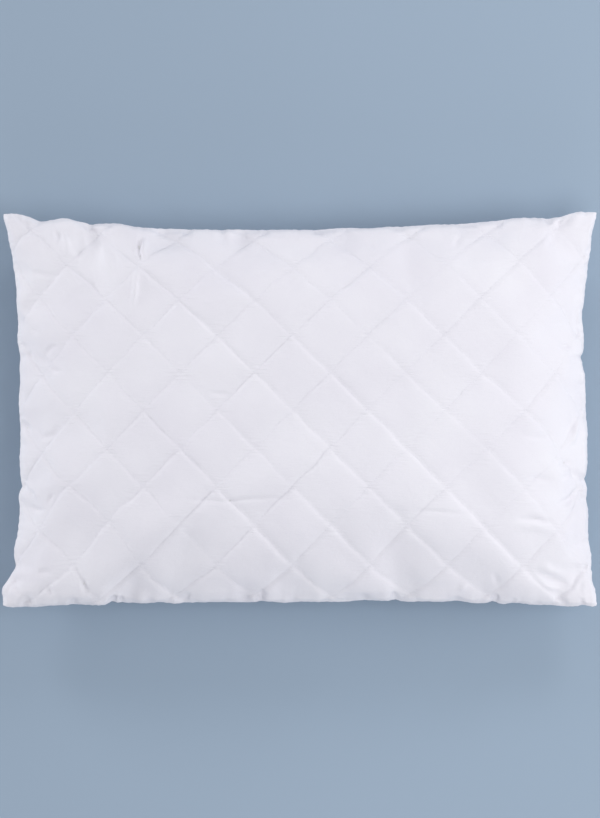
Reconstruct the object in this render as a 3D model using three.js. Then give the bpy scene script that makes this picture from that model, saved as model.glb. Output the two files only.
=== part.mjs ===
// A quilted bed pillow, filled and lying flat on its back face.
//
// Each face is a quilted panel: cover cloth, wadding and lining, held together by lockstitched
// diamond lines with a needle thread outside and a bobbin thread inside. The two panels are sewn
// together round their edge and turned, so that their seam allowances lie inside, bound by an
// overlock thread. The fibre goes in through a gap that a second run of thread closes.
//
// Frame: millimetres, +Z up, X along the long side, origin under the middle of the resting face.
// The panels are laid out in cloth coordinates (u, v), the flat cover before it is filled, and
// the seam plane is at z = 0 until the last group lifts the pillow onto its resting face.

import * as THREE from 'three';

// Overall sizes.
const cutLength = 750; // flat cover from seam to seam, along X
const cutWidth = 500; // flat cover from seam to seam, along Y
const lengthTakeUp = 10; // ear tip to ear tip, the filled cover is this much shorter
const widthTakeUp = 10; // and this much narrower
const leftBow = 25; // how far the short end at -X pulls in between its two ears
const rightBow = 16; // the same at +X
const farBow = 22; // how far the long side at +Y pulls in between its two ears
const nearBow = 5; // the same at -Y, the side that the pillow was last stood on
const crownHeight = 80; // upper face above the seam plane
const bellyDepth = 60; // resting face below the seam plane
const restCompression = 18; // how much deeper the lower face would hang, were it not pressed flat
const endFullness = 3.2; // powers of the crown's profile: higher is fuller towards the seam
const sideFullness = 2.4;

// Edge of the cover.
const seamAllowance = 9; // turned-in cloth, measured in from the edge
const overlockWidth = 3; // how far the overlock thread covers each allowance
const overlockEase = 0.6; // room between the overlock thread and the panel over it
const edgeDrop = 0.15; // each layer's roll is this share of its depth lower than the cover's
const innerEarRadius = 0.8; // rounding of the overlock's innermost turn at an ear
const closingRun = 200; // length of seam left open for filling
const runClearance = 1; // between the ends of the two seam runs
const earSegments = 3;

// Quilting.
const diamondDiagonal = 93; // stitched crossing to crossing, along X and along Y
const patternShiftX = -9.3; // a crossing nearest the middle of the panel
const patternShiftY = -5.6;
const puffHeight = 2.5; // middle of a diamond above its stitched lines
const pressedShare = 0.6; // flat middle of a diamond that carries weight

// Cloth, wadding and thread.
const clothThickness = 0.5;
const waddingPinch = 0.8; // wadding under a stitched line and in the seam
const liningThickness = 0.4;
const threadWidth = 0.8;
const seamThreadWidth = 0.9;
const layerGap = 0.5; // clearance between touching pieces

// Depths of each interface below the stitched lines, and below the middle of a diamond.
const coverOuter = { stitch: 0, puff: -puffHeight };
const coverInner = { stitch: clothThickness, puff: clothThickness - puffHeight };
const waddingOuter = { stitch: coverInner.stitch + layerGap, puff: coverInner.puff + layerGap };
const waddingInner = level(waddingOuter.stitch + waddingPinch);
const liningOuter = level(waddingInner.stitch + layerGap);
const liningInner = level(liningOuter.stitch + liningThickness);
const needleThread = -layerGap - threadWidth / 2;
const bobbinThread = liningInner.stitch + layerGap + threadWidth / 2;
const fillOuter = level(bobbinThread + threadWidth / 2 + layerGap);

// Heights from the seam plane, and depths in from the edge, of what is turned in at the seam.
const overlockInside = layerGap / 2 + liningInner.stitch + layerGap;
const overlockOutside = overlockInside + threadWidth;
const edgeHalfThickness = overlockOutside + overlockEase;
const rollDepth = edgeHalfThickness;
const overlockWeb = seamAllowance + layerGap;
const earRadius = overlockWeb + threadWidth + innerEarRadius;

const halfCutLength = cutLength / 2;
const halfCutWidth = cutWidth / 2;
const coreCutX = halfCutLength - earRadius;
const coreCutY = halfCutWidth - earRadius;
const coreTipX = (cutLength - lengthTakeUp) / 2 - earRadius;
const coreTipY = (cutWidth - widthTakeUp) / 2 - earRadius;
const pitch = diamondDiagonal / 2;
const front = { sign: 1, bulge: crownHeight, limit: crownHeight };
const back = { sign: -1, bulge: bellyDepth + restCompression, limit: bellyDepth };

function level(depth) {
  return { stitch: depth, puff: depth };
}

// Seen from above, cloth is crowded towards the seam, where it runs down the side of the pillow.
function crowd(share, crowding) {
  return share * (1 + crowding) - crowding * share ** 5;
}

// Each way, the bow changes evenly from one edge of the cover to the other.
function plan(u, v) {
  const s = u / coreCutX;
  const t = v / coreCutY;
  const seamX = coreTipX - THREE.MathUtils.lerp(leftBow, rightBow, (1 + s) / 2) * (1 - t * t);
  const seamY = coreTipY - THREE.MathUtils.lerp(nearBow, farBow, (1 + t) / 2) * (1 - s * s);
  const x = seamX * crowd(s, coreCutX / (coreTipX - (leftBow + rightBow) / 2) - 1);
  const y = seamY * crowd(t, coreCutY / (coreTipY - (nearBow + farBow) / 2) - 1);
  return new THREE.Vector2(x, y);
}

// A point on the stitched level of one face, with the seam plane at z = 0.
function facePoint(u, v, side) {
  const { x, y } = plan(u, v);
  const endShare = 1 - Math.abs(u / halfCutLength) ** endFullness;
  const sideShare = 1 - Math.abs(v / halfCutWidth) ** sideFullness;
  const base = edgeHalfThickness + puffHeight;
  const rise = (side.bulge - base) * Math.sqrt(endShare * sideShare);
  const height = edgeHalfThickness + Math.min(rise, side.limit - base);
  return new THREE.Vector3(x, y, side.sign * height);
}

function isPressed(u, v, side) {
  return side === back && facePoint(u, v, side).z === puffHeight - side.limit;
}

// Tangents along u and v and the outward normal of one face.
function faceFrame(u, v, side) {
  const probe = 0.5;
  const along = facePoint(u + probe, v, side).sub(facePoint(u - probe, v, side)).normalize();
  const across = facePoint(u, v + probe, side).sub(facePoint(u, v - probe, side)).normalize();
  const normal = along.clone().cross(across).normalize().multiplyScalar(side.sign);
  return { along, across, normal };
}

// Grid lines of the quilting that fit inside the ears, by their number from the middle crossing.
function gridLines(shift, coreCut) {
  const first = Math.ceil((-coreCut - shift) / pitch);
  const last = Math.floor((coreCut - shift) / pitch);
  const lines = [];
  for (let number = first; number <= last; number++) {
    lines.push({ number, place: shift + number * pitch });
  }
  return lines;
}

const columns = gridLines(patternShiftX, coreCutX);
const rows = gridLines(patternShiftY, coreCutY);
const lastColumn = columns.length - 1;
const lastRow = rows.length - 1;

function gridIndex(i, j) {
  return j * columns.length + i;
}

function isStitched(i, j) {
  return (columns[i].number + rows[j].number) % 2 === 0;
}

// Stations round the edge, anticlockwise from above. Each is a point of the core outline, the
// direction outwards from it, and the grid node that it joins.
function edgeStations() {
  const stations = [];
  const add = (i, j, u, v, angle) => stations.push({ node: gridIndex(i, j), u, v, angle });
  const addEar = (i, j, u, v, start) => {
    for (let k = 0; k <= earSegments; k++) {
      add(i, j, u, v, start + (k / earSegments) * (Math.PI / 2));
    }
  };
  for (let i = 1; i < lastColumn; i++) {
    add(i, 0, columns[i].place, -coreCutY, -Math.PI / 2);
  }
  addEar(lastColumn, 0, coreCutX, -coreCutY, -Math.PI / 2);
  for (let j = 1; j < lastRow; j++) {
    add(lastColumn, j, coreCutX, rows[j].place, 0);
  }
  addEar(lastColumn, lastRow, coreCutX, coreCutY, 0);
  for (let i = lastColumn - 1; i > 0; i--) {
    add(i, lastRow, columns[i].place, coreCutY, Math.PI / 2);
  }
  addEar(0, lastRow, -coreCutX, coreCutY, Math.PI / 2);
  for (let j = lastRow - 1; j > 0; j--) {
    add(0, j, -coreCutX, rows[j].place, Math.PI);
  }
  addEar(0, 0, -coreCutX, -coreCutY, Math.PI);
  return stations;
}

const stations = edgeStations();

function edgePoint(station, inset, height) {
  const core = plan(station.u, station.v);
  const reach = earRadius - inset;
  const x = core.x + reach * Math.cos(station.angle);
  const y = core.y + reach * Math.sin(station.angle);
  return new THREE.Vector3(x, y, height);
}

// The nodes of a panel, each a function from depth to place, and the triangles between them.
function makePanel(side) {
  const nodes = [];
  const face = [];
  const addFaceNode = (point, normal, kind) => {
    const place = (depth) => point.clone().addScaledVector(normal, -depth);
    return nodes.push({ kind, place }) - 1;
  };
  for (let j = 0; j <= lastRow; j++) {
    for (let i = 0; i <= lastColumn; i++) {
      const [u, v] = [columns[i].place, rows[j].place];
      const kind = isStitched(i, j) ? 'stitch' : 'puff';
      addFaceNode(facePoint(u, v, side), faceFrame(u, v, side).normal, kind);
    }
  }
  for (let j = 0; j <= lastRow; j++) {
    for (let i = 0; i <= lastColumn; i++) {
      if (!isStitched(i, j)) {
        face.push(...diamond(i, j, side, addFaceNode));
      }
    }
  }

  // The rolled edge turns under to the seam plane, and the allowance runs in from it.
  const halfGap = layerGap / 2;
  const foldPlaces = [
    (station) => (depth) => edgePoint(station, depth, edgeHalfThickness - edgeDrop * depth),
    (station) => (depth) => edgePoint(station, rollDepth, halfGap + depth),
    (station) => (depth) => edgePoint(station, seamAllowance, halfGap + depth),
  ];
  let loop = stations.map((station) => station.node);
  const fold = [];
  for (const foldPlace of foldPlaces) {
    const next = stations.map((station) => {
      const raised = foldPlace(station);
      const place = (depth) => raised(depth).multiply(new THREE.Vector3(1, 1, side.sign));
      return nodes.push({ kind: 'stitch', place }) - 1;
    });
    fold.push(...band(loop, next));
    loop = next;
  }
  return { side, nodes, face, fold, hem: loop };
}

// The triangles round one diamond's middle. A diamond that rests on the ground is flat inside.
function diamond(i, j, side, addFaceNode) {
  const middle = gridIndex(i, j);
  const steps = [[1, 0], [0, 1], [-1, 0], [0, -1]];
  const corners = steps.map(([di, dj]) => {
    const inside = columns[i + di] && rows[j + dj];
    return inside ? [i + di, j + dj] : null;
  });
  const cells = [...corners, [i, j]];
  const place = ([ci, cj]) => [columns[ci].place, rows[cj].place];
  const flat = cells.every((cell) => cell && isPressed(...place(cell), side));
  const inner = corners.map((corner) => {
    if (!flat) {
      return middle;
    }
    const point = facePoint(...place([i, j]), side);
    point.lerp(facePoint(...place(corner), side), pressedShare);
    return addFaceNode(point, new THREE.Vector3(0, 0, side.sign), 'puff');
  });
  const triangles = flat ? quad(...inner) : [];
  for (let k = 0; k < corners.length; k++) {
    const next = (k + 1) % corners.length;
    if (corners[k] && corners[next]) {
      const [a, b] = [gridIndex(...corners[k]), gridIndex(...corners[next])];
      triangles.push(...quad(inner[k], a, b, inner[next]));
    }
  }
  return triangles;
}

// Two triangles, or one where two of the corners are the same node.
function quad(a, b, c, d) {
  return [[a, b, c], [a, c, d]].filter(([p, q, r]) => p !== q && q !== r && r !== p);
}

// The faces between two loops of the same length, the second outside the first.
function band(inner, outer) {
  return inner.flatMap((node, k) => {
    const next = (k + 1) % inner.length;
    return quad(node, outer[k], outer[next], inner[next]);
  });
}

function reverse(triangles) {
  return triangles.map(([a, b, c]) => [a, c, b]);
}

function shift(triangles, count) {
  return triangles.map((triangle) => triangle.map((node) => node + count));
}

function makeMesh(name, material, points, triangles) {
  const geometry = new THREE.BufferGeometry().setFromPoints(points);
  geometry.setIndex(triangles.flat());
  geometry.computeVertexNormals();
  const mesh = new THREE.Mesh(geometry, material.clone());
  mesh.name = name;
  return mesh;
}

// One layer of a panel, closed along the hem of its allowance.
function makeLayer(name, material, panel, outer, inner) {
  const { nodes, side, hem } = panel;
  const points = [outer, inner].flatMap((depths) => nodes.map((n) => n.place(depths[n.kind])));
  const surface = [...panel.face, ...panel.fold];
  const innerHem = hem.map((node) => node + nodes.length);
  const triangles = [
    ...surface,
    ...shift(reverse(surface), nodes.length),
    ...band(hem, innerHem),
  ];
  return makeMesh(name, material, points, side.sign > 0 ? triangles : reverse(triangles));
}

// The fibre fills the space between the two linings, as far out as the quilted grid.
function makeFill(name, material, upper, lower) {
  const rim = stations.map((station) => station.node);
  const upperRim = rim.filter((node, k) => node !== rim[(k + 1) % rim.length]);
  const lowerRim = upperRim.map((node) => node + upper.nodes.length);
  const points = [upper, lower].flatMap((panel) =>
    panel.nodes.map((n) => n.place(fillOuter[n.kind])));
  const triangles = [
    ...upper.face,
    ...shift(reverse(lower.face), upper.nodes.length),
    ...band(upperRim, lowerRim),
  ];
  return makeMesh(name, material, points, triangles);
}

// One quilting thread: a small square knot at each crossing, with an arm along each line.
function makeQuiltingThread(name, material, side, depth) {
  const points = [];
  const triangles = [];
  const knots = new Map();
  const steps = [[1, 1], [-1, 1], [-1, -1], [1, -1]];
  for (let j = 0; j <= lastRow; j++) {
    for (let i = 0; i <= lastColumn; i++) {
      if (isStitched(i, j)) {
        knots.set(gridIndex(i, j), { i, j, first: points.length });
        points.push(...knotPoints(columns[i].place, rows[j].place, side, depth));
      }
    }
  }
  for (const { i, j, first } of knots.values()) {
    const top = (k) => first + (k % 4);
    const bottom = (k) => top(k) + 4;
    triangles.push(...quad(top(0), top(1), top(2), top(3)));
    triangles.push(...quad(bottom(3), bottom(2), bottom(1), bottom(0)));
    steps.forEach(([di, dj], k) => {
      const inside = columns[i + di] && rows[j + dj];
      if (!inside) {
        triangles.push(...quad(top(k), bottom(k), bottom(k + 1), top(k + 1)));
      } else if (dj > 0) {
        const other = knots.get(gridIndex(i + di, j + dj)).first;
        const [c, d] = [other + ((k + 3) % 4), other + ((k + 2) % 4)];
        triangles.push(...quad(top(k), c, d, top(k + 1)));
        triangles.push(...quad(bottom(k + 1), d + 4, c + 4, bottom(k)));
        triangles.push(...quad(bottom(k), c + 4, c, top(k)));
        triangles.push(...quad(top(k + 1), d, d + 4, bottom(k + 1)));
      }
    });
  }
  return makeMesh(name, material, points, side.sign > 0 ? triangles : reverse(triangles));
}

function knotPoints(u, v, side, depth) {
  const { along, across, normal } = faceFrame(u, v, side);
  const centre = facePoint(u, v, side).addScaledVector(normal, -depth);
  const reach = threadWidth / Math.SQRT2;
  const corners = [[along, reach], [across, reach], [along, -reach], [across, -reach]];
  return [threadWidth / 2, -threadWidth / 2].flatMap((height) =>
    corners.map(([direction, distance]) =>
      centre.clone().addScaledVector(direction, distance).addScaledVector(normal, height)));
}

// A section of (inset, height) points carried round a run of stations, closed or capped.
function makeRun(name, material, run, section, closed) {
  const points = run.flatMap((station) =>
    section.map(([inset, height]) => edgePoint(station, inset, height)));
  const loop = (k) => section.map((_, n) => (k % run.length) * section.length + n);
  const triangles = [];
  const spans = closed ? run.length : run.length - 1;
  for (let k = 0; k < spans; k++) {
    triangles.push(...band(loop(k + 1), loop(k)));
  }
  if (!closed) {
    const [start, end] = [loop(0), loop(run.length - 1)];
    for (let n = 1; n < section.length - 1; n++) {
      triangles.push([start[0], start[n + 1], start[n]]);
      triangles.push([end[0], end[n], end[n + 1]]);
    }
  }
  return makeMesh(name, material, points, triangles);
}

// The seam thread lies in the groove between the two rolled edges.
function threadSection() {
  const sides = 6;
  const inset = rollDepth - seamThreadWidth;
  const radius = seamThreadWidth / 2;
  const section = [];
  for (let k = 0; k < sides; k++) {
    const angle = (2 * Math.PI * k) / sides;
    section.push([inset + radius * Math.cos(angle), radius * Math.sin(angle)]);
  }
  return section;
}

// The overlock thread wraps both allowances: a channel, open towards the seam.
function overlockSection() {
  const [inside, outside] = [overlockInside, overlockOutside];
  const lip = seamAllowance - overlockWidth;
  const [web, spine] = [overlockWeb, overlockWeb + threadWidth];
  return [
    [lip, -outside], [spine, -outside], [spine, outside], [lip, outside],
    [lip, inside], [web, inside], [web, -inside], [lip, -inside],
  ];
}

// The closing run is in the middle of the long side at -Y, and the main run is all the rest.
function splitSeam() {
  const end = closingRun / 2;
  const onSide = (u) => ({ u, v: -coreCutY, angle: -Math.PI / 2 });
  const isClosing = ({ v, u, angle }) =>
    v === -coreCutY && angle === -Math.PI / 2 && Math.abs(u) < end + runClearance;
  const firstAfter = stations.findIndex((s, k) =>
    !isClosing(s) && isClosing(stations[(k + stations.length - 1) % stations.length]));
  const ordered = [...stations.slice(firstAfter), ...stations.slice(0, firstAfter)];
  const inRun = (s) => isClosing(s) && Math.abs(s.u) < end;
  return {
    main: [
      onSide(end + runClearance),
      ...ordered.filter((s) => !isClosing(s)),
      onSide(-end - runClearance),
    ],
    closing: [onSide(-end), ...ordered.filter(inRun), onSide(end)],
  };
}

function makeMaterial(color, roughness) {
  return new THREE.MeshStandardMaterial({ color, roughness, metalness: 0 });
}

const coverCloth = makeMaterial(0xeceaf3, 0.85);
const waddingFelt = makeMaterial(0xf6f6f4, 0.95);
const liningCloth = makeMaterial(0xe2e2e4, 0.9);
const quiltingThread = makeMaterial(0xf2f1f6, 0.6);
const seamThread = makeMaterial(0xefeef4, 0.6);
const cardedFibre = makeMaterial(0xfafafa, 1);

function makePanelGroup(prefix, panel) {
  const { side } = panel;
  const group = new THREE.Group();
  group.add(
    makeLayer(`${prefix}_cover`, coverCloth, panel, coverOuter, coverInner),
    makeLayer(`${prefix}_wadding`, waddingFelt, panel, waddingOuter, waddingInner),
    makeLayer(`${prefix}_lining`, liningCloth, panel, liningOuter, liningInner),
    makeQuiltingThread(`${prefix}_needle_thread`, quiltingThread, side, needleThread),
    makeQuiltingThread(`${prefix}_bobbin_thread`, quiltingThread, side, bobbinThread),
  );
  return group;
}

function makePillow() {
  const frontPanel = makePanel(front);
  const backPanel = makePanel(back);
  const { main, closing } = splitSeam();
  const seams = new THREE.Group();
  seams.add(
    makeRun('perimeter_seam_thread', seamThread, main, threadSection(), false),
    makeRun('closing_seam_thread', seamThread, closing, threadSection(), false),
    makeRun('overlock_thread', seamThread, stations, overlockSection(), true),
  );
  const pillow = new THREE.Group();
  pillow.add(makePanelGroup('front', frontPanel));
  pillow.add(makePanelGroup('back', backPanel));
  pillow.add(makeFill('fibre_fill', cardedFibre, frontPanel, backPanel));
  pillow.add(seams);
  pillow.position.z = bellyDepth;
  return pillow;
}

export default makePillow();
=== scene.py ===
"""A quilted bed pillow, lying on its back face.

Two quilted panels are filled by cloth simulation, fitted to the frame's outline and heights, and then
given the relief of the quilting, creases and gathered edges. Everything is in metres, +Z up, except
the tables of slack places, pulls, creases, gathers and dents, which are in millimetres.

Cloth coordinates (u, v) run over a panel as it was cut: u along its length, v along its width. A side of
the pillow is 1 for the front and -1 for the back.
"""

import math

import bpy
import numpy as np
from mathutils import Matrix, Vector


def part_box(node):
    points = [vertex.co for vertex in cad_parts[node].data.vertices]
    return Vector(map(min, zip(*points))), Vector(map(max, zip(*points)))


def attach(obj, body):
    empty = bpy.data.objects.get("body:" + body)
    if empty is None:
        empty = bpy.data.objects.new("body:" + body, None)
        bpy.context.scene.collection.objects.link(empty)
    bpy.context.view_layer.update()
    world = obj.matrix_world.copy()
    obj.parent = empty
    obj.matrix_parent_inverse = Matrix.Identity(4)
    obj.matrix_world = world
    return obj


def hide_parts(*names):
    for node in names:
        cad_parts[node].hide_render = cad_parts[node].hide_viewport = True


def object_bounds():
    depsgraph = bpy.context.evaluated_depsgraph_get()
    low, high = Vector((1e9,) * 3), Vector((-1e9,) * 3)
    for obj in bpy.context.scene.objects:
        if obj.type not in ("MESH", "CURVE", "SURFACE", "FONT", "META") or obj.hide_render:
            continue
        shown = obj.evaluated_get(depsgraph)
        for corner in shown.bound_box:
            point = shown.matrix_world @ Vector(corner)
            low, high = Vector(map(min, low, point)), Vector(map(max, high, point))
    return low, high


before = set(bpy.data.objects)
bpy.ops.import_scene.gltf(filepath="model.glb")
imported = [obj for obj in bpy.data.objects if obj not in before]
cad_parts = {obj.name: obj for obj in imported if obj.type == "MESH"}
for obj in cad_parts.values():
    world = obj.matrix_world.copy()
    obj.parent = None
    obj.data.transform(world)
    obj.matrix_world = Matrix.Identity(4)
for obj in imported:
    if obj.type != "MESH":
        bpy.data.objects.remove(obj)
cad_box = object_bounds()

# ---- sizes from the frame

COVER_LOW, COVER_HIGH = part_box("front_cover")
SEAM_LOW, SEAM_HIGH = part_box("perimeter_seam_thread")

SEAM_HEIGHT = (SEAM_LOW.z + SEAM_HIGH.z) / 2  # the plane of the seam above the floor
HALF_LENGTH = (COVER_HIGH.x - COVER_LOW.x) / 2  # to the tips of the ears
HALF_WIDTH = (COVER_HIGH.y - COVER_LOW.y) / 2
CROWN = cad_box[1].z - SEAM_HEIGHT  # the front face's highest point over the seam

# ---- driving sizes

MM = 0.001
CUT_LENGTH = 0.750  # a panel between its seams, as it was cut
CUT_WIDTH = 0.500
BACK_CROWN = 0.078  # the back face's depth, before it is pressed by lying on it
PRESS_SOFTNESS = 0.020  # how gradually the pressed area starts
END_FULLNESS = 3.2  # squareness of the swell from end to end
SIDE_FULLNESS = 2.4  # squareness of the swell from side to side

DIAMOND = 0.093  # the quilting's diamonds, corner to corner
PATTERN_SHIFT = (-0.0093, -0.0056)
FINE_STEPS = 20  # cells across half a diamond, outside of the cover
INNER_STEPS = 10  # and on everything inside it
SIM_STEPS = 6  # and in the simulation

SEAM_ALLOWANCE = 0.009
STITCH_LENGTH = 0.0032  # from one quilting stitch to the next
STITCH_GAP = 0.0007
THREAD_RADIUS = 0.00021

# How far each side bows in between its ears, how sharply it turns out at its two ends, and how much
# more it bows towards its high end
SIDES = {
    "left": {"bow": 0.0235, "low_end": 3.4, "high_end": 2.7, "drift": -0.06},
    "right": {"bow": 0.0155, "low_end": 4.2, "high_end": 2.6, "drift": 0.48},
    "near": {"bow": 0.0066, "low_end": 2.4, "high_end": 2.8, "drift": 0.0},
    "far": {"bow": 0.0232, "low_end": 2.6, "high_end": 2.1, "drift": -0.18},
}
EAR_REACH = 0.0068  # how far the rounding of an ear's tip runs along each side
EAR_DEPTH = 0.0031  # how far the tip stands in from the corner, both ways
EAR_REST = 0.0022  # how far the corner stands outside the frame's box, before the rounding

FACE_SLIP = 0.0048  # how far the middle of a face has slipped towards the far side

# ---- small mathematics


def ease(x):
    """0 to 1 with a soft start and end."""
    x = np.clip(x, 0, 1)
    return x * x * (3 - 2 * x)


def bell(away, reach):
    """1 at no distance, dying away smoothly within the reach."""
    return np.exp(-((away / reach) ** 2))


def spline_matrix(known, wanted):
    """The matrix that carries values at known places to wanted places along a natural cubic spline."""
    gap = np.diff(known)
    count = len(known)
    bend = np.eye(count)
    pull = np.zeros((count, count))
    for i in range(1, count - 1):
        bend[i, i - 1 : i + 2] = gap[i - 1], 2 * (gap[i - 1] + gap[i]), gap[i]
        pull[i, i - 1 : i + 2] = 6 / gap[i - 1], -6 / gap[i - 1] - 6 / gap[i], 6 / gap[i]
    curvature = np.linalg.solve(bend, pull)
    cell = np.clip(np.searchsorted(known, wanted, side="right") - 1, 0, count - 2)
    width = gap[cell]
    right = (wanted - known[cell]) / width
    left = 1 - right
    unit = np.eye(count)
    straight = left[:, None] * unit[cell] + right[:, None] * unit[cell + 1]
    low = ((left**3 - left) * width**2 / 6)[:, None] * curvature[cell]
    high = ((right**3 - right) * width**2 / 6)[:, None] * curvature[cell + 1]
    return straight + low + high


def waves(x, wavelength, seed, count=7):
    """A smooth wandering value along x, mostly between -1 and 1."""
    draw = np.random.default_rng(seed)
    total = np.zeros_like(x)
    for _ in range(count):
        turns = draw.uniform(0.55, 1.6) / wavelength
        total += np.sin(2 * math.pi * (x * turns + draw.uniform(0, 1)))
    return total / math.sqrt(count)


def lumps(u, v, wavelength, seed, count=14):
    """A smooth wandering value over a panel, mostly between -1 and 1."""
    draw = np.random.default_rng(seed)
    total = np.zeros_like(u)
    for _ in range(count):
        heading = draw.uniform(0, math.pi)
        turns = draw.uniform(0.6, 1.5) / wavelength
        run = u * math.cos(heading) + v * math.sin(heading)
        total += np.sin(2 * math.pi * (run * turns + draw.uniform(0, 1)))
    return total / math.sqrt(count)


# ---- grids in cloth coordinates

# Extra lines close to the seam, where the edge rolls over
ROLL_LINES = (0, 0.0004, 0.0009, 0.0016, 0.0026, 0.0040, 0.0058)


def grid_lines(cut, shift, steps, close=ROLL_LINES):
    """Cloth coordinates of a grid's lines: some close to each seam, the rest in step with the quilting."""
    gap = DIAMOND / 2 / steps
    margin = close[-1] + 0.4 * gap
    first = math.ceil((-cut / 2 + margin - shift) / gap)
    last = math.floor((cut / 2 - margin - shift) / gap)
    inside = shift + gap * np.arange(first, last + 1)
    close = np.array(close)
    return np.concatenate([-cut / 2 + close, inside, (cut / 2 - close)[::-1]])


class Grid:
    """A panel's grid: its lines, and the cloth coordinates of its points."""

    def __init__(self, steps, close=ROLL_LINES):
        self.u_lines = grid_lines(CUT_LENGTH, PATTERN_SHIFT[0], steps, close)
        self.v_lines = grid_lines(CUT_WIDTH, PATTERN_SHIFT[1], steps, close)
        self.u, self.v = np.meshgrid(self.u_lines, self.v_lines)
        self.s = 2 * self.u / CUT_LENGTH
        self.t = 2 * self.v / CUT_WIDTH
        from_end = CUT_LENGTH / 2 - np.abs(self.u)
        from_side = CUT_WIDTH / 2 - np.abs(self.v)
        self.from_seam = np.minimum(from_end, from_side)


def carried(points, coarse, fine):
    """Points on a coarse grid carried smoothly to a finer one."""
    across = spline_matrix(coarse.u_lines, fine.u_lines)
    along = spline_matrix(coarse.v_lines, fine.v_lines)
    rows = np.tensordot(along, points, axes=(1, 0))
    return np.moveaxis(np.tensordot(rows, across, axes=(1, 1)), -1, 1)


# ---- the outline


def bow(side, place):
    """How far a side stands in from the straight line between its ears. place runs from -1 to 1."""
    shape = SIDES[side]
    power = np.where(place < 0, shape["low_end"], shape["high_end"])
    return shape["bow"] * (1 - np.abs(place) ** power) * (1 + shape["drift"] * place)


def ear_rounding(place, half):
    """How far an ear's rounded tip stands in from its corner, along one side."""
    share = np.clip((1 - np.abs(place)) * half / EAR_REACH, 0, 1)
    return EAR_DEPTH * (1 - share) ** 2


def crowd(share, crowding):
    """Cloth keeps its spacing in the middle of a face and crowds together towards the seam."""
    return share * (1 + crowding) - crowding * share**5


def middle_bow(low, high):
    return (SIDES[low]["bow"] + SIDES[high]["bow"]) / 2


def resting_guess(grid, side):
    """A filled panel by formula: the starting point, and what the simulated one is fitted to."""
    s, t = grid.s, grid.t
    in_x = bow("left", t) + (bow("right", t) - bow("left", t)) * (1 + s) / 2
    in_y = bow("near", s) + (bow("far", s) - bow("near", s)) * (1 + t) / 2
    corner_x = HALF_LENGTH + EAR_REST
    corner_y = HALF_WIDTH + EAR_REST
    crowding_x = CUT_LENGTH / 2 / (corner_x - middle_bow("left", "right")) - 1
    crowding_y = CUT_WIDTH / 2 / (corner_y - middle_bow("near", "far")) - 1
    x = (corner_x - in_x - ear_rounding(t, HALF_WIDTH)) * crowd(s, crowding_x)
    y = (corner_y - in_y - ear_rounding(s, HALF_LENGTH)) * crowd(t, crowding_y)
    y = y + FACE_SLIP * np.sqrt(np.clip((1 - s**2) * (1 - t**2), 0, 1))
    swell = (1 - np.abs(s) ** END_FULLNESS) * (1 - np.abs(t) ** SIDE_FULLNESS)
    crown = CROWN if side > 0 else BACK_CROWN
    z = side * crown * np.sqrt(np.clip(swell, 0, 1))
    return np.stack([x, y, z], -1)


# ---- cloth simulation

SIM_FRAMES = 36
SIM_START_SWELL = 0.02
SEAM_SHRINK = 0.022
LINE_SHRINK = 0.004
CLOTH_SETTINGS = {
    "quality": 6,
    "mass": 0.15,
    "tension_stiffness": 35,
    "compression_stiffness": 35,
    "shear_stiffness": 10.5,
    "bending_stiffness": 10,
    "use_pressure": True,
    "uniform_pressure_force": 1.25,
    "vertex_group_pressure": "fullness",
    "vertex_group_shrink": "seam",
    "shrink_max": SEAM_SHRINK,
}
STUFFING = 0.85  # share of the full pressure, and how unevenly it is spread
STUFFING_SPREAD = 0.08
STUFFING_LENGTH = 0.22
STUFFING_SEEDS = (3, 8)  # for the front and the back


def sim_grid():
    return Grid(SIM_STEPS, close=(0,))


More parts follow.
